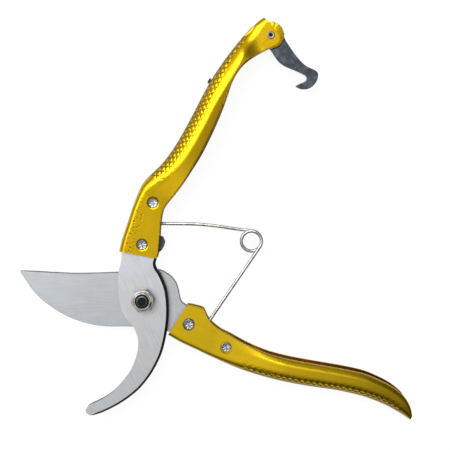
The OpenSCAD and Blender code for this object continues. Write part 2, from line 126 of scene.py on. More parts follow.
world = bpy.data.worlds.new("grey_room")
scene.world = world
room = Finish(world)
gaze = room.add("ShaderNodeTexCoord", {}, {})
lamp_side = page_up - page_right
toward = (lamp_side * 0.33 + Vector((0, 0, 0.88))).normalized()
facing = room.add("ShaderNodeVectorMath", {"operation": "DOT_PRODUCT"}, {0: gaze, 1: toward}, 1)
room_grey, room_white = (0.04, 0.036, 0.032, 1), (1.15, 1.15, 1.15, 1)
room.join(room.tree.nodes["Background"].inputs["Color"],
          room.blend(facing.maths("MAXIMUM", 0) ** 2.2, room_grey, room_white))

box_place = page_up * 0.5 - page_right * 0.3 + Vector((0, 0, 0.82))
panel_place = page_right * 0.3 + Vector((0, 0, 1.2))
for name, aim, size, power in (("soft_box", box_place, (1.0, 0.42), 6.5),
                               ("fill_panel", panel_place, (0.8, 0.8), 9.0)):
    bpy.ops.object.light_add(type="AREA", location=aim)
    lamp = bpy.context.object
    lamp.name = name
    lamp.data.shape, lamp.data.energy = "RECTANGLE", power
    lamp.data.size, lamp.data.size_y = size
    lamp.rotation_euler = (-aim).to_track_quat("-Z", "Y").to_euler()
    lamp.visible_glossy = name == "soft_box"

bpy.ops.mesh.primitive_plane_add(size=3, location=(0.04, 0, 0))
table = bpy.context.object
table.name = "photo_table"
board = Finish(bpy.data.materials.new("white_board"))
board_shader = board.tree.nodes["Principled BSDF"]
board_shader.inputs["Base Color"].default_value = (0.9, 0.9, 0.9, 1)
board_shader.inputs["Roughness"].default_value = 0.8
seen = (board.add("ShaderNodeLightPath", {}, {}, "Is Camera Ray")
        + board.add("ShaderNodeLightPath", {}, {}, "Is Glossy Ray"))
glow = board.add("ShaderNodeEmission", {}, {"Color": (1, 1, 1, 1), "Strength": 1.0})
plain = Level(board, board_shader.outputs[0])
board.join(board.tree.nodes["Material Output"].inputs["Surface"],
           board.add("ShaderNodeMixShader", {}, {0: seen.maths("MINIMUM", 1) * 0.88, 1: plain, 2: glow}))
table.data.materials.append(board.owner)

bpy.ops.object.camera_add(location=(0.0686, 0.0347, 0.463))
camera = bpy.context.object
camera.name = "overhead_camera"
target = Vector((0.0495, 0.0190, 0.0066))
back = (camera.location - target).normalized()
across = (page_right - back * page_right.dot(back)).normalized()
camera.rotation_euler = Matrix((across, back.cross(across), back)).transposed().to_euler()
camera.data.lens, camera.data.sensor_width = 76, 36
camera.data.clip_start, camera.data.clip_end = 0.01, 10
scene.camera = camera

# ---------------------------------------------------------------- hook blade
# The fixed anvil hook is blanked from 3.5 mm plate and surface ground on both
# faces with diagonal strokes. Its rim is left black from the hardening bath and
# only a narrow chamfer breaks the outer corner. The same black on the inner edges
# is painted shadow: the dark line where the hook lies over the blade.
lever_turn = radians(38.5)


def select_only(piece):
    if bpy.context.mode != "OBJECT":
        bpy.ops.object.mode_set(mode="OBJECT")
    bpy.ops.object.select_all(action="DESELECT")
    piece.select_set(True)
    bpy.context.view_layer.objects.active = piece


def blank_from(name, node):
    """A blank with the outline of a CAD node, its loose triangles joined into whole faces."""
    piece = bpy.data.objects.new(name, frame["nodes"][node].data.copy())
    piece.data.name = name
    piece.data.materials.clear()
    scene.collection.objects.link(piece)
    select_only(piece)
    if piece.data.has_custom_normals:
        bpy.ops.mesh.customdata_custom_splitnormals_clear()
    bpy.ops.object.mode_set(mode="EDIT")
    bpy.ops.mesh.select_all(action="SELECT")
    bpy.ops.mesh.remove_doubles(threshold=2e-6)
    bpy.ops.mesh.dissolve_limited(angle_limit=radians(0.6))
    bpy.ops.object.mode_set(mode="OBJECT")
    return piece


def modify(piece, kind, **settings):
    """Adds a modifier, sets it and applies it."""
    select_only(piece)
    bpy.ops.object.modifier_add(type=kind)
    modifier = piece.modifiers[-1]
    for key, value in settings.items():
        setattr(modifier, key, value)
    bpy.ops.object.modifier_apply(modifier=modifier.name)


def break_edges(piece, width, angle=35, segments=2):
    """Takes the sharpness off a piece's edges and shades what is left smooth."""
    modify(piece, "BEVEL", width=width, segments=segments, limit_method="ANGLE",
           angle_limit=radians(angle), use_clamp_overlap=True, harden_normals=False)
    select_only(piece)
    bpy.ops.object.shade_smooth_by_angle(angle=radians(50))
    modify(piece, "WEIGHTED_NORMAL", keep_sharp=True, weight=90)


def fit(piece, body, slot, *nodes):
    """Puts a finished piece on its body, in place of the CAD nodes that it stands for."""
    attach(piece, body)
    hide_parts(*nodes)


def in_lever(point, side):
    """A point of a lever's closed drawing, in mm, turned out to where the open lever has it."""
    return Matrix.Rotation(side * lever_turn, 3, "Z") @ Vector((point[0], point[1], 0)) * mm


def ground_steel(name, stroke, light, dark, rough):
    """Surface-ground blade steel, its strokes running at one angle."""
    steel = Finish(bpy.data.materials.new(name))
    shader = steel.tree.nodes["Principled BSDF"]
    place = steel.add("ShaderNodeTexCoord", {}, {}, "Object")
    strokes = []
    for length, width in ((0.013, 0.00026), (0.007, 0.00014)):
        lines = steel.add("ShaderNodeMapping", {"vector_type": "TEXTURE"},
                          {"Vector": place, "Rotation": (0, 0, stroke), "Scale": (length, width, 0.004)})
        strokes.append(steel.add("ShaderNodeTexNoise", {}, {"Vector": lines, "Scale": 1.0, "Detail": 3.0}))
    cloud = steel.add("ShaderNodeTexNoise", {}, {"Vector": place, "Scale": 160.0, "Detail": 3.0})
    tint = steel.add("ShaderNodeTexNoise", {}, {"Vector": place, "Scale": 90.0, "Detail": 1.0})
    grain = strokes[0] * 0.5 + strokes[1] * 0.28 + cloud * 0.22
    mixed = steel.blend(steel.between(grain, 0.34, 0.66), dark, light)
    cooler = tuple(c * k for c, k in zip(light, (0.93, 0.97, 1.06, 1)))
    steel.join(shader.inputs["Base Color"], steel.blend(steel.between(tint, 0.45, 0.75) * 0.5, mixed, cooler))
    steel.join(shader.inputs["Roughness"], rough + (strokes[1] - 0.5) * 0.25)
    steel.join(shader.inputs["Normal"], steel.add("ShaderNodeBump", {}, {
        "Strength": 0.3, "Distance": 0.00003, "Height": strokes[0] + strokes[1]}))
    shader.inputs["Metallic"].default_value = 1
    return steel.owner


def scaled_iron(name, colour, rough, lump=0.0006):
    """Dark iron or steel with the dull bloom of a hardening or oil bath."""
    iron = Finish(bpy.data.materials.new(name))
    shader = iron.tree.nodes["Principled BSDF"]
    place = iron.add("ShaderNodeTexCoord", {}, {}, "Object")
    speck = iron.add("ShaderNodeTexNoise", {}, {"Vector": place, "Scale": 1 / lump, "Detail": 4.0})
    lighter = tuple(min(1, c * 2.0 + 0.01) for c in colour[:3]) + (1,)
    iron.join(shader.inputs["Base Color"], iron.blend(iron.between(speck, 0.4, 0.75), colour, lighter))
    iron.join(shader.inputs["Roughness"], rough + (speck - 0.5) * 0.4)
    iron.join(shader.inputs["Normal"], iron.add("ShaderNodeBump", {}, {
        "Strength": 0.5, "Distance": 0.00008, "Height": speck}))
    shader.inputs["Metallic"].default_value = 0.8
    return iron.owner


def pick(piece, kind, test):
    """Leaves only the edges or faces that pass a test selected."""
    for part in (piece.data.vertices, piece.data.edges, piece.data.polygons):
        part.foreach_set("select", [False] * len(part))
    chosen = [one for one in getattr(piece.data, kind) if test(one)]
    for one in chosen:
        one.select = True
    bpy.context.tool_settings.mesh_select_mode = (False, kind == "edges", kind == "polygons")
    return chosen


hook = blank_from("hook_blade_ground", "hook_blade")
outward = in_lever((0.6, -0.8), 1) / mm
hook_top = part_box("hook_blade")[1].z
back_rim = {pair for face in hook.data.polygons
            if abs(face.normal.z) < 0.5 and face.normal.dot(outward) > 0.05 and face.center.xy.length > 0.006
            for pair in face.edge_keys}
select_only(hook)
pick(hook, "edges", lambda edge: tuple(sorted(edge.vertices)) in back_rim
     and min(hook.data.vertices[k].co.z for k in edge.vertices) > hook_top - 1e-5)
bpy.ops.object.mode_set(mode="EDIT")
bpy.ops.mesh.bevel(offset=1.1 * mm, segments=1, affect="EDGES", clamp_overlap=False)
bpy.ops.object.mode_set(mode="OBJECT")
break_edges(hook, 0.24 * mm)
hook.data.materials.append(ground_steel(
    "hook_face_steel", lever_turn - radians(125), (0.68, 0.69, 0.70, 1), (0.54, 0.555, 0.57, 1), 0.4))
hook.data.materials.append(scaled_iron("hook_rim_black", (0.012, 0.012, 0.014, 1), 0.5))
# Every side face and chamfer gets the black: the rim's own black, and painted shadow along the inner edges
# over the blade.
for face in pick(hook, "polygons", lambda face: abs(face.normal.z) < 0.93):
    face.material_index = 1
fit(hook, "hook_lever", "hook_steel", "hook_blade")

# ---------------------------------------------------------------- cutting blade
# The moving blade is 3.4 mm steel, flat and ground lengthwise on the side that
# slides along the hook. Its cutting bevel is ground on the far side. Its rim and
# the bevels round its upper face are painted dark, as shadow lines along the edges.
blade = blank_from("cutting_blade_ground", "cutting_blade")
break_edges(blade, 0.2 * mm)
blade_mid = 7.1 * mm
blade.data.materials.append(ground_steel(
    "blade_face_steel", radians(-21.5), (0.58, 0.60, 0.615, 1), (0.47, 0.49, 0.505, 1), 0.4))
blade.data.materials.append(scaled_iron("blade_rim_dark", (0.03, 0.03, 0.033, 1), 0.5))
# Painted shade: the side faces and the bevels round the upper face are darkened as shadow lines.
for face in pick(blade, "polygons", lambda face: abs(face.normal.z) < 0.6
                 or (abs(face.normal.z) < 0.93 and face.center.z > blade_mid)):
    face.material_index = 1
fit(blade, "blade_lever", "blade_steel", "cutting_blade")

# ---------------------------------------------------------------- pivot
# A round-headed bolt comes up through washer, blade and hook and is held by a
# locking nut: a chamfered hexagon with a rolled collar over a black nylon ring.
# Bolt and ring are black, nut and washer are bright plated; the nut's flats are painted dark as shade, and a
# ring on the bolt end's chamfer is painted lighter as a highlight.


def turned(name, centre, profile, sides=48):
    """A round piece turned from its profile: a ring is drawn from one radius and height to the next."""
    if bpy.context.mode != "OBJECT":
        bpy.ops.object.mode_set(mode="OBJECT")
    bpy.ops.object.select_all(action="DESELECT")
    low = profile[0]
    bpy.ops.mesh.primitive_circle_add(vertices=sides, radius=max(low[0], 1e-4) * mm,
                                      location=(centre[0], centre[1], low[1] * mm))
    piece = bpy.context.object
    piece.name = piece.data.name = name
    bpy.ops.object.transform_apply(location=True, rotation=True, scale=True)
    bpy.ops.object.mode_set(mode="EDIT")
    for (r0, z0), (r1, z1) in zip(profile, profile[1:]):
        grow = max(r1, 1e-4) / max(r0, 1e-4)
        bpy.ops.mesh.extrude_edges_move(TRANSFORM_OT_translate={"value": (0, 0, (z1 - z0) * mm)})
        bpy.ops.transform.resize(value=(grow, grow, 1), center_override=(centre[0], centre[1], z1 * mm))
    bpy.ops.mesh.select_all(action="SELECT")
    bpy.ops.mesh.remove_doubles(threshold=1e-6)
    bpy.ops.mesh.normals_make_consistent(inside=False)
    bpy.ops.object.mode_set(mode="OBJECT")
    bpy.ops.object.shade_smooth_by_angle(angle=radians(30))
    return piece


def plated(name, colour, rough, lump=0.0004, dent=0.4):
    """Bright plating with the small unevenness of a barrel-plated part."""
    zinc = Finish(bpy.data.materials.new(name))
    shader = zinc.tree.nodes["Principled BSDF"]
    place = zinc.add("ShaderNodeTexCoord", {}, {}, "Object")
    mottle = zinc.add("ShaderNodeTexNoise", {}, {"Vector": place, "Scale": 1 / lump, "Detail": 3.0})
    darker = tuple(c * 0.6 for c in colour[:3]) + (1,)
    zinc.join(shader.inputs["Base Color"], zinc.blend(zinc.between(mottle, 0.35, 0.6), darker, colour))
    zinc.join(shader.inputs["Roughness"], rough + (mottle - 0.5) * 0.3)
    zinc.join(shader.inputs["Normal"], zinc.add("ShaderNodeBump", {}, {
        "Strength": dent, "Distance": 0.00006, "Height": mottle}))
    shader.inputs["Metallic"].default_value = 1
    return zinc.owner


pivot = (0, 0)
bolt = turned("pivot_bolt_turned", pivot, [
    (0, 0), (5.4, 0), (6.6, 0.25), (7.2, 0.75), (7.5, 1.5), (7.5, 3.0), (7.3, 3.2), (4, 3.2), (4, 7.5),
    (3, 7.5), (3, 17.1), (2.55, 17.5), (2.2, 17.6), (2.0, 17.45), (0, 17.4)])
bolt.data.materials.append(scaled_iron("bolt_black_oxide", (0.006, 0.007, 0.009, 1), 0.4))
bolt.data.materials.append(scaled_iron("bolt_worn_edge", (0.12, 0.12, 0.125, 1), 0.4))
# Painted highlight: a lighter ring on the bolt end's chamfer.
for face in pick(bolt, "polygons", lambda face: 2.2 * mm < face.center.xy.length < 2.56 * mm
                 and face.center.z > 17.5 * mm):
    face.material_index = 1
fit(bolt, "hook_lever", "bolt_steel", "pivot_bolt")

bright_nickel = plated("nut_nickel", (0.66, 0.62, 0.56, 1), 0.28, lump=0.0015, dent=0.03)
nut_low, nut_hex, nut_flats = 11.0, 4.4, 10
bpy.ops.object.select_all(action="DESELECT")
bpy.ops.mesh.primitive_cylinder_add(
    vertices=6, radius=nut_flats / 2 / cos(pi / 6) * mm, depth=nut_hex * mm,
    location=(0, 0, (nut_low + nut_hex / 2) * mm), rotation=(0, 0, radians(17.5)))
nut = bpy.context.object
nut.name = nut.data.name = "pivot_nut_chamfered"
bpy.ops.object.transform_apply(location=True, rotation=True, scale=True)
cone = turned("nut_chamfer_tool", pivot, [
    (0, 10.9), (5.4, 10.9), (5.9, 11.25), (5.9, 14.85), (5.15, 15.4), (5.0, 15.5), (0, 15.5)])
collar = turned("nut_collar_tool", pivot, [
    (0, 13), (4.7, 13), (4.7, 15.45), (4.6, 15.9), (4.3, 16.5), (3.95, 16.95), (3.75, 17.1), (0, 17.1)])
bore = turned("nut_bore_tool", pivot, [(0, 10), (3.05, 10), (3.05, 15.6), (3.45, 15.6), (3.45, 18), (0, 18)])
for tool, operation in ((cone, "INTERSECT"), (collar, "UNION"), (bore, "DIFFERENCE")):
    modify(nut, "BOOLEAN", object=tool, operation=operation, solver="EXACT")
    bpy.data.objects.remove(tool)
break_edges(nut, 0.14 * mm, angle=25)
nut.data.materials.append(bright_nickel)
nut.data.materials.append(plated("nut_flats_stained", (0.13, 0.11, 0.09, 1), 0.35, dent=0.15))
# Painted shade: the nut's six flats are darker than its top and collar.
for face in pick(nut, "polygons", lambda face: abs(face.normal.z) < 0.3
                 and face.center.xy.length > 4.85 * mm):
    face.material_index = 1
fit(nut, "hook_lever", "bolt_steel", "pivot_nut")

ring = turned("nylon_lock_ring", pivot, [
    (3.05, 15.6), (3.48, 15.6), (3.48, 16.6), (3.38, 16.85), (3.15, 16.9), (3.05, 16.8), (3.05, 15.6)])
ring.data.materials.append(scaled_iron("nylon_black", (0.01, 0.01, 0.011, 1), 0.6))
ring.data.materials[0].node_tree.nodes["Principled BSDF"].inputs["Metallic"].default_value = 0
fit(ring, "hook_lever", "lock_nylon", "nut_lock_ring")
frame["nodes"]["pivot_washer"].data.materials.clear()
frame["nodes"]["pivot_washer"].data.materials.append(bright_nickel)

# ---------------------------------------------------------------- handles
# Each handle is one blank of 1.2 mm sheet, pressed into a channel and lacquered
# in clear gold. The grip's back is rolled with a diamond knurl. The upper one
# is pinched to two flat ears at its end, the lower one runs out to a narrow bar.
sheet = 1.2
mid_upper, mid_lower = 7.5, 7.55
tang_half, grip_half = 4.7, 7.5
blank_size, rim_way, inner_way = 160, 45, 60
# web x and y, rim x and y, width share, rounding share, how far the rim leans in
upper_rows = [
    (14.4, 21.8, 20.6, 4.4, 0, 0, 0), (20, 23.4, 24.2, 5.6, 0, 0, 0), (27.5, 24.9, 29, 7.8, 0, 0, 0),
    (36.4, 26.7, 36.5, 11.4, 0, 0, 0), (44, 27.8, 41.5, 13.2, 0.05, 0.1, -0.05),
    (48, 28, 45, 13.3, 0.18, 0.25, -0.15), (53, 27.1, 50, 12.5, 0.4, 0.5, -0.35),
    (60, 25, 57, 11.6, 0.65, 0.75, -0.2), (67, 23.9, 65, 11.1, 0.85, 0.95, 0.3),
    (76, 23.4, 75, 10.8, 1, 1, 0.7), (88, 23.6, 88, 11.6, 1, 1, 0.75), (97, 24, 98, 12.8, 1, 1, 0.65),
    (106.5, 24.2, 106, 14.3, 1, 1.05, 0.35), (114, 23.8, 112.5, 15.5, 0.95, 1, 0),
    (122, 23, 119, 15.3, 0.75, 0.95, 0), (130, 21.8, 124.5, 13.6, 0.35, 0.8, 0),
    (136, 20.5, 130.5, 10, 0.05, 0.5, 0)]
lower_rows = [
    (16.2, -12.6, 20.7, 4, 0, 0, 0), (22.3, -14.1, 24.3, 4.4, 0, 0, 0), (27.5, -14.9, 28.2, 4.4, 0, 0, 0),
    (29.8, -15.2, 29.8, 3.3, 0, 0, 0), (32, -15.5, 31.8, 1, 0, 0, 0), (35, -16, 34.6, -1, 0, 0, 0),
    (40, -16.7, 39.2, -2.9, 0, 0.05, 0), (46, -17.5, 45, -4, 0.12, 0.2, 0),
    (54, -18.3, 54, -5.9, 0.4, 0.5, 0.5), (64, -18.5, 64, -6.9, 0.75, 0.85, 1.4),
    (74, -18, 74, -6.6, 1, 1, 1.9), (84, -17, 84, -5.5, 1, 1, 2),
    (94, -15.5, 94, -4.2, 1, 1, 2), (103, -14.2, 104, -3, 1, 1, 2), (112.5, -13.5, 112, -2.5, 1, 1, 2),
    (118, -13.6, 118, -3, 0.98, 1, 2), (123, -14, 124, -4, 0.92, 1, 1.8),
    (128, -14.7, 129, -5.6, 0.85, 0.9, 1.4), (133, -15.8, 133.2, -7.8, 0.75, 0.7, 0.8),
    (136.2, -16.6, 136.6, -11.2, 0.6, 0.4, 0.3), (138.5, -17.3, 138.8, -15, 0.4, 0, 0)]
eyelet = (139.5, 10.1)
ear_half, ear_r, latch_room = 2.3, 6.4, 1.1
# web x and y, rim x and y, half width, rounding share, fanned out over the ear
ear_rows = [
    (139.8, 19.3, 134.8, 7.2, 4.4, 0.25), (141.6, 18.7, 137.2, 5.4, 4.1, 0.1),
    (143, 18.2, 139.4, 5.2, 3.9, 0), (144.1, 17.7, 141.2, 6.6, 3.8, 0),
    (144.8, 17.3, 142.6, 9.4, 3.7, 0), (145.2, 17.1, 144.3, 13.2, 3.7, 0)]


def smooth_through(rows, steps):
    """Stations on a smooth curve through the rows, with steps between each two."""
    out = []
    for i in range(len(rows) - 1):
        a, b, c, d = (Vector(rows[min(max(k, 0), len(rows) - 1)]) for k in (i - 1, i, i + 1, i + 2))
        for s in range(steps):
            t = s / steps
            bend, twist = 2 * a - 5 * b + 4 * c - d, 3 * b - a - 3 * c + d
            out.append(0.5 * (2 * b + (c - a) * t + bend * t * t + twist * t ** 3))
    return out + [Vector(rows[-1])]


def channel_section(depth, half, corner, lip, lip_share, flange_steps=12, arc_steps=12, web_steps=6):
    """The channel's section, out over the web and back inside: depth from the web, height, way round, turn.

    The turn is 0 on the web, 1 where the corner meets the side and 2 at the end of the lip.
    """
    wide, tall, crisp = corner
    wide, tall = min(wide, depth - 0.6), min(tall, half - 0.1)
    soft = 0.2
    fold_from = max(wide, depth * (1 - lip_share))
    outer, inner, turn = [(depth - soft, -half + lip)], [(depth - soft, -half + lip + sheet)], [2.0]
    for k in range(1, flange_steps):
        s = depth + (wide - depth) * k / flange_steps
        folded = max(0, (s - fold_from) / (depth - fold_from))
        outer.append((s, -half + lip * folded ** 1.15))
        inner.append((s, -half + lip * folded ** 1.15 + sheet))
        turn.append(1 + folded)
    for k in range(arc_steps + 1):
        a = pi / 2 * (1 - k / arc_steps)
        across, rise = 1 - cos(a), (1 - cos(a) ** crisp) ** 0.5
        turn.append(1 - k / arc_steps)
        outer.append((wide * across, -half + tall * (1 - rise)))
        inner.append((sheet + max(wide - sheet, 0.3) * across,
                      -half + sheet + max(tall - sheet, 0.3) * (1 - rise)))
    flat_o, flat_i = outer[-1][1], inner[-1][1]
    web_o = [(0, flat_o * (1 - 2 * k / web_steps)) for k in range(1, web_steps)]
    web_i = [(sheet, flat_i * (1 - 2 * k / web_steps)) for k in range(1, web_steps)]
    turn = turn + [0.0] * len(web_o) + turn[::-1]
    outer = outer + web_o + [(s, -z) for s, z in reversed(outer)]
    inner = inner + web_i + [(s, -z) for s, z in reversed(inner)]
    way = [0.0]
    for a, b in zip(outer, outer[1:]):
        way.append(way[-1] + hypot(b[0] - a[0], b[1] - a[1]))
    way = [g - way[-1] / 2 for g in way]
    rim = half - lip
    ring = [(s, z, g, t) for (s, z), g, t in zip(outer, way, turn)]
    ring += [(depth, rim - soft, rim_way, 2), (depth, rim - sheet + soft, rim_way + 5, 2)]
    ring += [(s, z, inner_way, 2) for s, z in reversed(inner)]
    ring += [(depth, sheet - soft - rim, rim_way + 5, 2), (depth, soft - rim, rim_way, 2)]
    return ring + ring[:1]


def pressed(name, stations, mid, side, lip_share, pinch=None):
    """A flat blank pressed into a channel: each row of its grid is laid along one section."""
    sections = [channel_section(hypot(w[2] - w[0], w[3] - w[1]), w[4], w[6:9], w[5], lip_share)
                for w in stations]
    long, wide = len(stations) - 1, len(sections[0]) - 1
    bpy.ops.object.select_all(action="DESELECT")
    bpy.ops.mesh.primitive_grid_add(x_subdivisions=long, y_subdivisions=wide, size=1, location=(0, 0, 0))
    piece = bpy.context.object
    piece.name = piece.data.name = name
    mesh = piece.data
    run = [0.0]
    for a, b in zip(stations, stations[1:]):
        run.append(run[-1] + hypot((b[0] + b[2] - a[0] - a[2]) / 2, (b[1] + b[3] - a[1] - a[3]) / 2))
    spot = {}
    for vertex in mesh.vertices:
        i, j = round((vertex.co.x + 0.5) * long), round((vertex.co.y + 0.5) * wide)
        w = stations[i]
        inward = Vector((w[2] - w[0], w[3] - w[1])).normalized()
        s, z, way, turn = sections[i][j]
        x, y = w[0] + inward.x * s, w[1] + inward.y * s
        if pinch:
            z = pinch(x, y, z, w[4])
        vertex.co = in_lever((x, y), side) + Vector((0, 0, (mid + z) * mm))
        spot[vertex.index] = (run[i] / blank_size, 0.5 + way / blank_size), (turn / 2, 0)
    mesh.uv_layers.new(name="turn")
    for loop in mesh.loops:
        for layer, place in zip(mesh.uv_layers, spot[loop.vertex_index]):
            layer.data[loop.index].uv = place
    select_only(piece)
    bpy.ops.object.mode_set(mode="EDIT")
    bpy.ops.mesh.select_all(action="SELECT")
    bpy.ops.mesh.remove_doubles(threshold=1e-7)
    bpy.ops.mesh.select_all(action="DESELECT")
    bpy.context.tool_settings.mesh_select_mode = (False, True, False)
    bpy.ops.mesh.select_non_manifold(extend=False)
    bpy.ops.mesh.edge_face_add()
    bpy.ops.mesh.select_all(action="SELECT")
    bpy.ops.mesh.normals_make_consistent(inside=False)
    bpy.ops.object.mode_set(mode="OBJECT")
    modify(piece, "BEVEL", width=0.22 * mm, segments=1, limit_method="ANGLE", angle_limit=radians(62))
    return piece


def dished(x, y, z, half):
    """Presses the channel's sides in to a flat round about the eyelet."""
    away = hypot(x - eyelet[0], y - eyelet[1])
    share = min(1, max(0, (17 - away) / 10.6))
    share = share * share * (3 - 2 * share)
    if abs(z) <= sheet:
        return z
    return (-1 if z < 0 else 1) * max(latch_room, abs(z) - share * max(0, half - ear_half))


def lay_flat(piece):
    """Marks a piece that joins a handle as plain flat sheet, clear of the knurl."""
    for name, place in (("UVMap", (0.95, 0.6)), ("turn", (0.5, 0))):
        layer = piece.data.uv_layers.get(name) or piece.data.uv_layers.new(name=name)
        for corner in layer.data:
            corner.uv = place


def gold_lacquer(name, mid_gold, knurl, painted_back_shade, painted_lip_shade, falloff_shade, peened):
    """Clear gold lacquer over pressed sheet, knurled over the back of the grip.

    Knurl is where it starts and ends, its half width and how much that narrows; painted_back_shade is the
    turn up to which the web's back is painted dark brown as shade; painted_lip_shade is how dark the lip is
    painted as shade;
    fade is where along the handle painted shade grows, and by how much; peened is how strongly the flat front
    shows hammer specks.
    """
    gold = Finish(bpy.data.materials.new(name))
    shader = gold.tree.nodes["Principled BSDF"]
    blank = gold.add("ShaderNodeUVMap", {"uv_map": "UVMap"}, {})
    along = gold.add("ShaderNodeSeparateXYZ", {}, {0: blank}) * blank_size
    around = gold.add("ShaderNodeSeparateXYZ", {}, {0: blank}, 1) * blank_size - blank_size / 2
    turned_by = gold.add("ShaderNodeUVMap", {"uv_map": "turn"}, {})
    turn = gold.add("ShaderNodeSeparateXYZ", {}, {0: turned_by}) * 2
    place = gold.add("ShaderNodeTexCoord", {}, {}, "Object")
    knurl_from, knurl_to, knurl_half, narrows = knurl
    pitch = 2.05
    ridge_a = ((along + around) * (0.7071 / pitch)).maths("PINGPONG", 0.5) * 2
    ridge_b = ((along - around) * (0.7071 / pitch)).maths("PINGPONG", 0.5) * 2
    pyramid = ridge_a.maths("MINIMUM", ridge_b)
    reach = knurl_half - gold.between(along, knurl_to - 38, knurl_to) * narrows
    off_edge = reach - around.maths("ABSOLUTE")
    grip = (gold.between(along, knurl_from, knurl_from + 3)
            * (1 - gold.between(along, knurl_to - 3, knurl_to))
            * gold.between(off_edge, 0, 2.4) * (1 - gold.between(turn, 0.4, 0.85) * 0.72))
    peel = gold.add("ShaderNodeTexNoise", {}, {"Vector": place, "Scale": 1400.0, "Detail": 3.0})
    tone = gold.add("ShaderNodeTexNoise", {}, {"Vector": place, "Scale": 60.0, "Detail": 2.0})
    drawn_out = gold.add("ShaderNodeVectorMath", {"operation": "MULTIPLY"}, {0: blank, 1: (6.0, 90.0, 1.0)})
    streak = gold.add("ShaderNodeTexNoise", {}, {"Vector": drawn_out, "Scale": 1.0, "Detail": 2.0})
    # This dark brown is used both for the hammer specks and for all the painted shade below.
    deep = tuple(c * k for c, k in zip(mid_gold[:3], (0.16, 0.12, 0.12))) + (1,)
    light = tuple(min(1, c * 1.12) for c in mid_gold[:3]) + (1,)
    # Painted shade: the knurl's grooves are darkened where shade falls in them.
    groove_shade = grip * (1 - gold.between(pyramid, 0.05, 0.6)) * 0.65
    # Painted shade: the web's back, where the corner turns down and away, is darkened to dark brown.
    rolled = 1 - gold.between(turn, painted_back_shade * 0.4, painted_back_shade)
    # Painted shade on the lip, which turns away from the light.
    lip = gold.between(turn, 1.08, 1.3) * gold.between(along, 38, 50) * painted_lip_shade
    pits = gold.add("ShaderNodeTexVoronoi", {}, {"Vector": place, "Scale": 900.0}, "Distance")
    peening = ((1 - gold.between(pits, 0.25, 0.4)) * gold.between(turn, 0.8, 1)
               * (1 - gold.between(along, 22, 36))
               * (1 - gold.between(around.maths("ABSOLUTE"), 8.5, 11)) * peened)
    # The handle is also painted darker along its length, as shade where less light falls; the hammer specks
    # are the only real marks mixed in here.
    dark = (groove_shade.maths("MAXIMUM", rolled * 0.8).maths("MAXIMUM", lip)
            .maths("MAXIMUM", gold.between(along, falloff_shade[0], falloff_shade[1]) * falloff_shade[2])
            .maths("MAXIMUM", peening * 0.6))
    body = gold.blend(gold.between(peel * 0.35 + tone * 0.35 + streak * 0.3, 0.36, 0.62), mid_gold, light)
    gold.join(shader.inputs["Base Color"], gold.blend(dark, body, deep))
    gold.join(shader.inputs["Roughness"], 0.3 + (peel - 0.5) * 0.14)
    relief = grip * gold.between(pyramid, 0.0, 0.8) + peel * 0.03 - peening * 0.2
    gold.join(shader.inputs["Normal"], gold.add("ShaderNodeBump", {}, {
        "Strength": 1.0, "Distance": 0.0003, "Height": relief}))
    shader.inputs["Metallic"].default_value = 1
    shader.inputs["Coat Weight"].default_value = 0.12
    shader.inputs["Coat Roughness"].default_value = 0.2
    return gold.owner


def stations_of(rows, tight, full, crisp):
    """Web and rim points, half width, lean and corner (wide, tall, how crisp) at each station."""
    out = []
    for x, y, rim_x, rim_y, width, rounding, lean in rows:
        wide, tall = (t + (f - t) * rounding for t, f in zip(tight, full))
        half = tang_half + (grip_half - tang_half) * width
        out.append((x, y, rim_x, rim_y, half, lean, wide, tall, 2 - (2 - crisp) * rounding))
    return out


upper_full = stations_of(upper_rows, (3.0, 2.8), (7.9, 5.8), 1.3)
for x, y, rim_x, rim_y, half, rounding in ear_rows:
    upper_full.append((x, y, rim_x, rim_y, half, 0, 3.2 + 4 * rounding, 2.4, 2 - 0.7 * rounding))
steps = 7
upper_stations = smooth_through(upper_full, steps)
lower_stations = smooth_through(stations_of(lower_rows, (2.0, 2.0), (5.6, 5.6), 2), steps)
for station in upper_stations + lower_stations:
    station[4] = min(station[4], grip_half)
upper_handle = pressed("upper_handle_pressed", upper_stations, mid_upper, 1, 0.5, dished)
hub = in_lever(eyelet, 1)
for low in (mid_upper - ear_half, mid_upper + ear_half - sheet):
    high = low + sheet
    ear = turned("ear_disc", (hub.x, hub.y), [
        (0, low + 0.005), (ear_r - 0.35, low + 0.005), (ear_r - 0.1, low + 0.1), (ear_r, low + 0.35),
        (ear_r, high - 0.35), (ear_r - 0.1, high - 0.1), (ear_r - 0.35, high - 0.005),
        (0, high - 0.005)], 64)
    lay_flat(ear)
    select_only(upper_handle)
    ear.select_set(True)
    bpy.ops.object.join()
lower_handle = pressed("lower_handle_pressed", lower_stations, mid_lower, -1, 0.24)

upper_front, upper_rear = (22.9, 13.6), (42.8, 19)
lower_front, lower_rear = (24.3, -4.6), (44.6, -9.8)
for handle, points, side, mid in ((upper_handle, (upper_front, upper_rear), 1, mid_upper),
                                  (lower_handle, (lower_front, lower_rear), -1, mid_lower)):
    low, high = mid - tang_half, mid + tang_half
    for point in points:
        centre = in_lever(point, side)
        sinker = turned("rivet_sinker", (centre.x, centre.y), [
            (0, low - 1), (3.3, low - 1), (3.0, low), (2.6, low + 0.14), (2.42, low + 0.5), (2.0, low + 0.7),
            (2.0, high - 0.7), (2.42, high - 0.5), (2.6, high - 0.14), (3.0, high), (3.3, high + 1),
            (0, high + 1)], 32)
        lay_flat(sinker)
        modify(handle, "BOOLEAN", object=sinker, operation="DIFFERENCE", solver="EXACT")
        bpy.data.objects.remove(sinker)
bpy.ops.object.select_all(action="DESELECT")
slot_mid = in_lever((127, -16), -1)
slot_long, slot_deep, slot_wide = 20 * mm, 12 * mm, 3.2 * mm
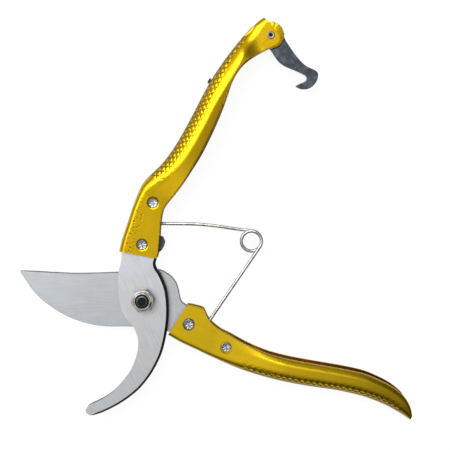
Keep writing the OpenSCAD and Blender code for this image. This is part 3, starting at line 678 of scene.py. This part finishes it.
bpy.ops.mesh.primitive_cube_add(size=1, location=(slot_mid.x, slot_mid.y, mid_lower * mm),
                                rotation=(0, 0, -lever_turn), scale=(slot_long, slot_deep, slot_wide))
punch = bpy.context.object
bpy.ops.object.mode_set(mode="EDIT")
bpy.ops.mesh.bevel(offset=0.0012, segments=4, affect="EDGES")
bpy.ops.object.mode_set(mode="OBJECT")
modify(lower_handle, "BOOLEAN", object=punch, operation="DIFFERENCE", solver="EXACT")
bpy.data.objects.remove(punch)
for handle in (upper_handle, lower_handle):
    select_only(handle)
    bpy.ops.object.shade_smooth_by_angle(angle=radians(32))
# Both handles carry the same gold lacquer; the upper one's colour is painted darker, as shade where less
# light falls on it.
upper_handle.data.materials.append(gold_lacquer(
    "upper_gold_lacquer", (0.54, 0.345, 0.003, 1), (34, 116, 11.5, 6), 0.34, 0.0, (130, 140, 0), 1))
lower_handle.data.materials.append(gold_lacquer(
    "lower_gold_lacquer", (0.66, 0.44, 0.008, 1), (36, 118, 10.2, 0), 0.72, 0.12, (48, 150, 0.7), 0))
fit(upper_handle, "hook_lever", "gold_lacquer", "upper_handle")
fit(lower_handle, "blade_lever", "gold_lacquer", "lower_handle")

# ---------------------------------------------------------------- rivets
# Four steel rivets hold the handles on the blades. Their heads are sunk flush
# and spun over with a star punch, which leaves spokes and a rough, shiny face.
rivet_zinc = plated("rivet_zinc", (0.42, 0.43, 0.44, 1), 0.3, lump=0.0005, dent=0.8)
half_head = [(0, 0.12), (0.55, 0.1), (1.1, 0.02), (1.65, 0.02),
             (2.1, 0.0), (2.3, 0.12), (2.35, 0.3), (1.95, 0.62)]
for name, point, side, mid in (("upper_front_rivet", upper_front, 1, mid_upper),
                               ("upper_rear_rivet", upper_rear, 1, mid_upper),
                               ("lower_front_rivet", lower_front, -1, mid_lower),
                               ("lower_rear_rivet", lower_rear, -1, mid_lower)):
    centre = in_lever(point, side)
    low, high = mid - tang_half, mid + tang_half
    rivet = turned(name + "_headed", (centre.x, centre.y),
                   [(r, low + z) for r, z in half_head] + [(r, high - z) for r, z in reversed(half_head)], 32)
    for vertex in rivet.data.vertices:
        away = vertex.co - Vector((centre.x, centre.y, vertex.co.z))
        spoke = 0.5 + 0.5 * cos(8 * atan2(away.y, away.x) + 0.7)
        if 0.0004 < away.length < 0.0019 and not low + 0.2 < vertex.co.z / mm < high - 0.2:
            vertex.co.z += (-0.22 if vertex.co.z > mid * mm else 0.22) * spoke * mm
    rivet.data.materials.append(rivet_zinc)
    fit(rivet, "hook_lever" if side > 0 else "blade_lever", "rivet_steel", name)

# ---------------------------------------------------------------- stop and spacers
# A block of black iron fills the channel behind the hook, and the lower handle
# closes against it. Plain steel tubes keep the sheet apart around three rivets.
stop = blank_from("stop_block_cast", "stop_block")
break_edges(stop, 0.3 * mm)
stop.data.materials.append(scaled_iron("stop_iron", (0.075, 0.075, 0.078, 1), 0.5, lump=0.0009))
fit(stop, "hook_lever", "stop_iron", "stop_block")
for name in ("upper_spacer", "lower_front_spacer", "lower_rear_spacer"):
    frame["nodes"][name].data.materials.clear()
    frame["nodes"][name].data.materials.append(rivet_zinc)

# ---------------------------------------------------------------- spring
# 1.65 mm spring wire is wound twice round and bent over at each end into a hole:
# the hook's hole holds it, and in the blade's it floats. The coil is drawn in one
# piece between the two arms, and the bent ends stay stiff with them.
joints = {joint["name"]: joint for joint in frame["joints"]}
seat_a = Vector(joints["spring_seat"]["pos_m"][:2] + [0])
coil = Vector(joints["spring_coil"]["pos_m"][:2] + [0])
seat_b = in_lever((31.4, -5.9), -1)
low_z, high_z, coil_r, wire_r, bend_r = 5.225 * mm, 9.825 * mm, 4.85 * mm, 0.825 * mm, 1.6 * mm


def bearing(v):
    return atan2(v.y, v.x)


start_a = bearing(seat_a - coil) - acos(coil_r / (seat_a - coil).length)
end_a = bearing(seat_b - coil) + acos(coil_r / (seat_b - coil).length)
sweep = (start_a - end_a) % (2 * pi) + 4 * pi


def on_coil(a):
    return coil + coil_r * Vector((cos(a), sin(a), 0))


run_a, run_b = (on_coil(start_a) - seat_a).normalized(), (seat_b - on_coil(end_a)).normalized()
up = Vector((0, 0, 1))
bend = [(1 - cos(radians(9 * k)), 1 - sin(radians(9 * k))) for k in range(11)]
hooked_end = [seat_a + up * 10.4 * mm]
hooked_end += [seat_a + up * low_z + run_a * bend_r * out + up * bend_r * rise for out, rise in bend]
floating_end = [seat_b + up * high_z - run_b * bend_r * rise - up * bend_r * out for out, rise in bend]
floating_end += [seat_b + up * 4.85 * mm]
reach_a, reach_b = on_coil(start_a) - seat_a, seat_b - on_coil(end_a)
bow_a = Vector((-run_a.y, run_a.x, 0)) * 1.1 * mm
turns, arm_steps = ceil(sweep / radians(7.5)), 24
route = hooked_end[-1:]
route += [seat_a + up * low_z + run_a * (bend_r + (reach_a.length - bend_r) * k / arm_steps)
          + bow_a * sin(pi * k / arm_steps) ** 2 for k in range(1, arm_steps)]
route += [on_coil(start_a - sweep * k / turns) + up * (low_z + (high_z - low_z) * k / turns)
          for k in range(turns + 1)]
route += [on_coil(end_a) + up * high_z + run_b * (reach_b.length - bend_r) * k / arm_steps
          for k in range(1, arm_steps)]
route += floating_end[:1]
bright_wire = plated("spring_bright_wire", (0.60, 0.59, 0.57, 1), 0.3, lump=0.003, dent=0.02)


def drawn_wire(name, route):
    """Round spring wire along a route."""
    drawn = bpy.data.curves.new(name, "CURVE")
    drawn.dimensions = "3D"
    line = drawn.splines.new("POLY")
    line.points.add(len(route) - 1)
    for spot, point in zip(line.points, route):
        spot.co = (*point, 1)
    drawn.bevel_depth, drawn.bevel_resolution, drawn.use_fill_caps = wire_r, 4, True
    wire = bpy.data.objects.new(name, drawn)
    scene.collection.objects.link(wire)
    select_only(wire)
    bpy.ops.object.convert(target="MESH")
    wire = bpy.context.object
    wire.data.name = name
    bpy.ops.object.shade_smooth_by_angle(angle=radians(40))
    wire.data.materials.append(bright_wire)
    return wire


spring = drawn_wire("spring_wire", route)
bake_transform(spring)
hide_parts("spring_upper", "spring_lower")
fit(drawn_wire("spring_hooked_end", hooked_end), "spring_upper_part", "spring_steel", "spring_upper")
fit(drawn_wire("spring_floating_end", floating_end), "spring_lower_part", "spring_steel", "spring_lower")

# ---------------------------------------------------------------- latch
# The catch is 2 mm sheet steel, blued dark in its heat treatment. It swings on
# a tubular eyelet between the upper handle's ears, and a riveted leaf spring
# rubs on its round head so that it stays where it is set.
latch = blank_from("latch_blued", "latch")
break_edges(latch, 0.25 * mm)
latch.data.materials.append(scaled_iron("latch_blued_steel", (0.045, 0.053, 0.066, 1), 0.42, lump=0.0025))
fit(latch, "latch_part", "latch_steel", "latch")

tube_low, tube_high = mid_upper - ear_half, mid_upper + ear_half
eyelet_piece = turned("latch_eyelet_rolled", (hub.x, hub.y), [
    (0, tube_low - 0.4), (1.4, tube_low - 0.4), (1.9, tube_low - 0.2), (1.9, tube_low), (1.4, tube_low),
    (1.4, tube_high), (1.9, tube_high), (1.9, tube_high + 0.2), (1.5, tube_high + 0.4),
    (1.0, tube_high + 0.36), (0.8, tube_high + 0.18), (0.74, tube_high + 0.08), (0, tube_high + 0.06)], 32)
eyelet_piece.data.materials.append(plated("eyelet_nickel", (0.40, 0.37, 0.31, 1), 0.35))
eyelet_piece.data.materials.append(scaled_iron("bore_grime", (0.006, 0.006, 0.006, 1), 0.6))
# Painted shade: the shallow dimple standing for the eyelet's hollow bore, and the outer rims of its heads,
# are near black.
for face in pick(eyelet_piece, "polygons", lambda face: (face.center.xy - hub.xy).length < 0.82 * mm
                 or (face.center.xy - hub.xy).length > 1.85 * mm):
    face.material_index = 1
fit(eyelet_piece, "hook_lever", "eyelet_steel", "latch_eyelet")
leaf = frame["nodes"]["latch_detent_spring"]
leaf.data.materials.clear()
leaf.data.materials.append(rivet_zinc)

nub = blank_from("detent_rivet_headed", "detent_rivet")
break_edges(nub, 0.12 * mm)
nub.data.materials.append(plated("nub_bronze", (0.16, 0.12, 0.07, 1), 0.4))
fit(nub, "hook_lever", "gold_lacquer", "detent_rivet")
